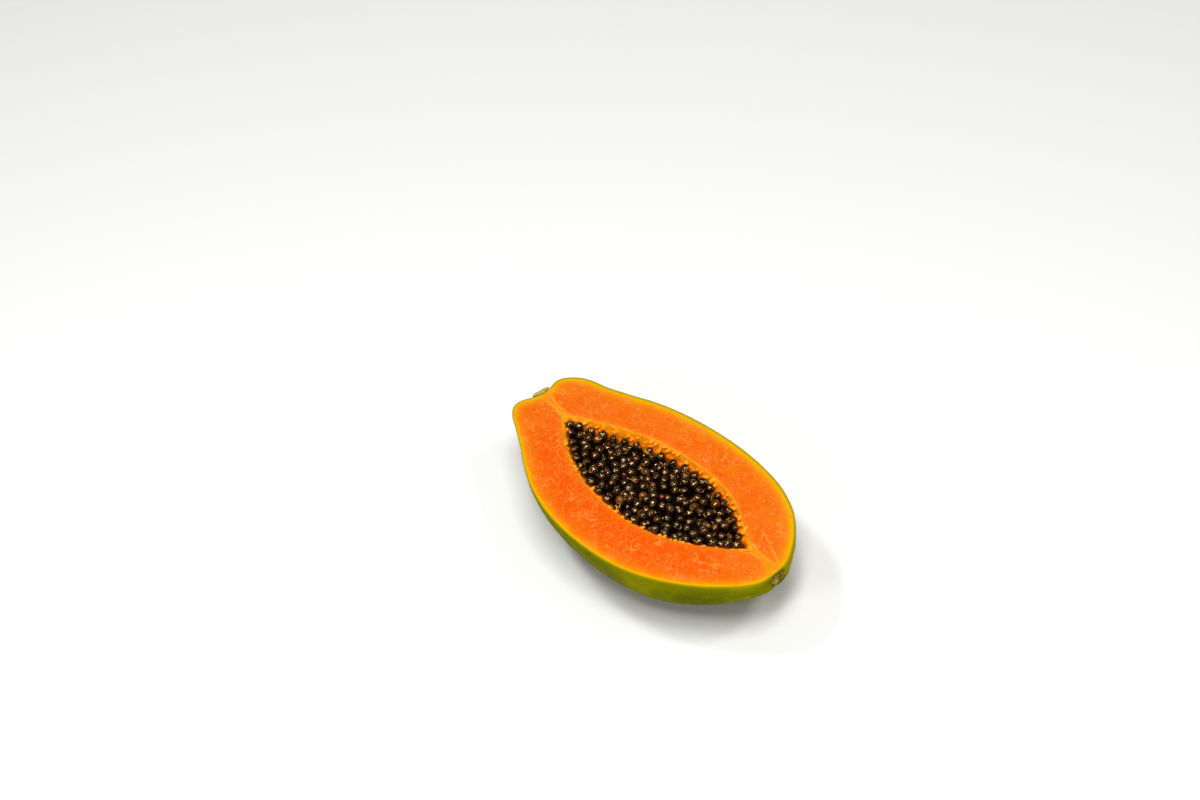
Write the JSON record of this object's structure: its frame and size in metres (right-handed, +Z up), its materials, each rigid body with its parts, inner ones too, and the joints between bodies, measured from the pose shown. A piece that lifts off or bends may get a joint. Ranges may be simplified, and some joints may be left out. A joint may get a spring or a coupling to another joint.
{
  "type": "halved papaya",
  "caption": "Half of a ripe papaya cut lengthwise, lying on its back with the orange cut face up, the cavity full of black seeds and a stub of stalk.",
  "frame": {"origin": "on the surface that the half lies on, under the middle of its bounding box", "axes": "+X from the stem end to the blossom end, +Z up, at right angles to the level cut face"},
  "size_m": [0.1747, 0.0978, 0.0439],
  "materials": {
    "flesh": "moist",
    "seeds": "wet",
    "stalk": "matte"
  },
  "bodies": {
    "root": {"fruit_half": "flesh", "seeds": "seeds", "stem_stub": "stalk"}
  },
  "joints": []
}
